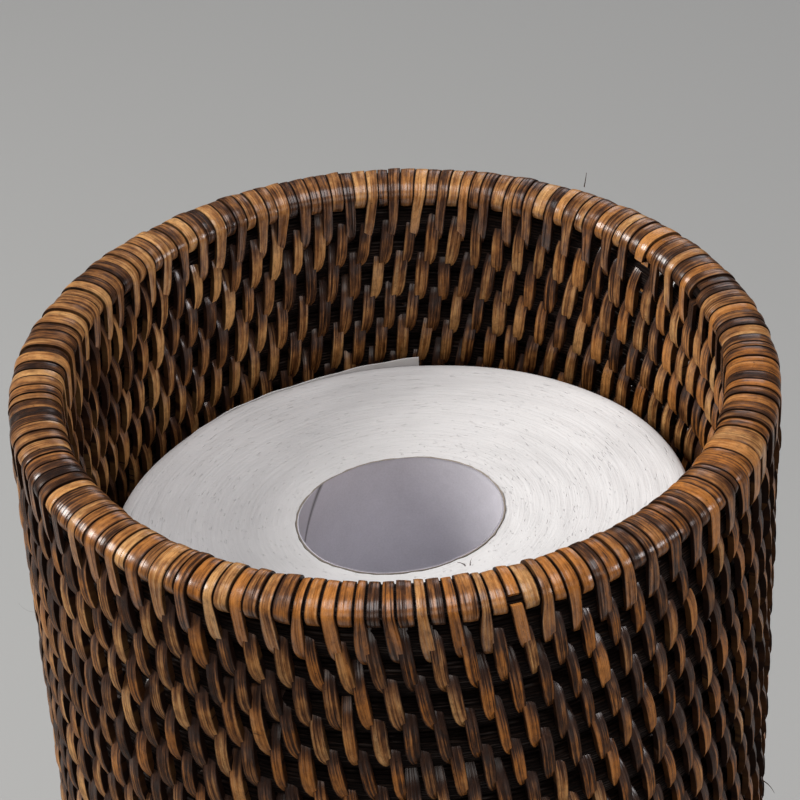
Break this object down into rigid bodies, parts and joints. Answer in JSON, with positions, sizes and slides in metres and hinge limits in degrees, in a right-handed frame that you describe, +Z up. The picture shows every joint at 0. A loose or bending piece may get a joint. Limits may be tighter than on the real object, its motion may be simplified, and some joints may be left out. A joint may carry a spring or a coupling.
{
  "type": "toilet roll storage holder",
  "caption": "Tall round holder of coiled, lashed rattan that stands on the floor and stores a stack of toilet rolls, with a wrapped rim and foot",
  "frame": {"origin": "centre of the foot's underside, on the surface that the holder stands on", "axes": "+Z up along the holder's axis, -Y towards the picture's camera, +X to its right"},
  "size_m": [0.15, 0.15, 0.3498],
  "materials": {
    "coil_core": "dry dark cane strands",
    "peel_light": "glossy varnished rattan peel, golden to brown",
    "peel_dark": "varnished rattan peel, brown",
    "tissue": "soft white tissue paper",
    "board": "plain grey cardboard"
  },
  "bodies": {
    "basket": {"foot_core": "coil_core", "foot_wraps_short": "peel_light", "foot_wraps_long": "peel_light", "floor_coil": "coil_core", "floor_lashings_upper": "peel_dark", "floor_lashings_lower": "peel_dark", "wall_coil": "coil_core", "outer_lashings_short": "peel_dark", "outer_lashings_long": "peel_dark", "inner_lashings_short": "peel_dark", "inner_lashings_long": "peel_dark", "rim_core": "coil_core", "rim_wraps_short": "peel_light", "rim_wraps_long": "peel_light"},
    "lower_roll": {"lower_roll_tube": "board", "lower_roll_paper": "tissue", "lower_roll_sheet": "tissue"},
    "middle_roll": {"middle_roll_tube": "board", "middle_roll_paper": "tissue", "middle_roll_sheet": "tissue"},
    "upper_roll": {"upper_roll_tube": "board", "upper_roll_paper": "tissue", "upper_roll_sheet": "tissue"}
  },
  "joints": [
    {"name": "lower_roll_lift", "type": "slide", "parent": "basket", "child": "lower_roll", "axis": [0, 0, 1], "range_m": [0, 0.345]},
    {"name": "middle_roll_lift", "type": "slide", "parent": "lower_roll", "child": "middle_roll", "axis": [0, 0, 1], "range_m": [0, 0.245]},
    {"name": "upper_roll_lift", "type": "slide", "parent": "middle_roll", "child": "upper_roll", "axis": [0, 0, 1], "range_m": [0, 0.145]}
  ]
}
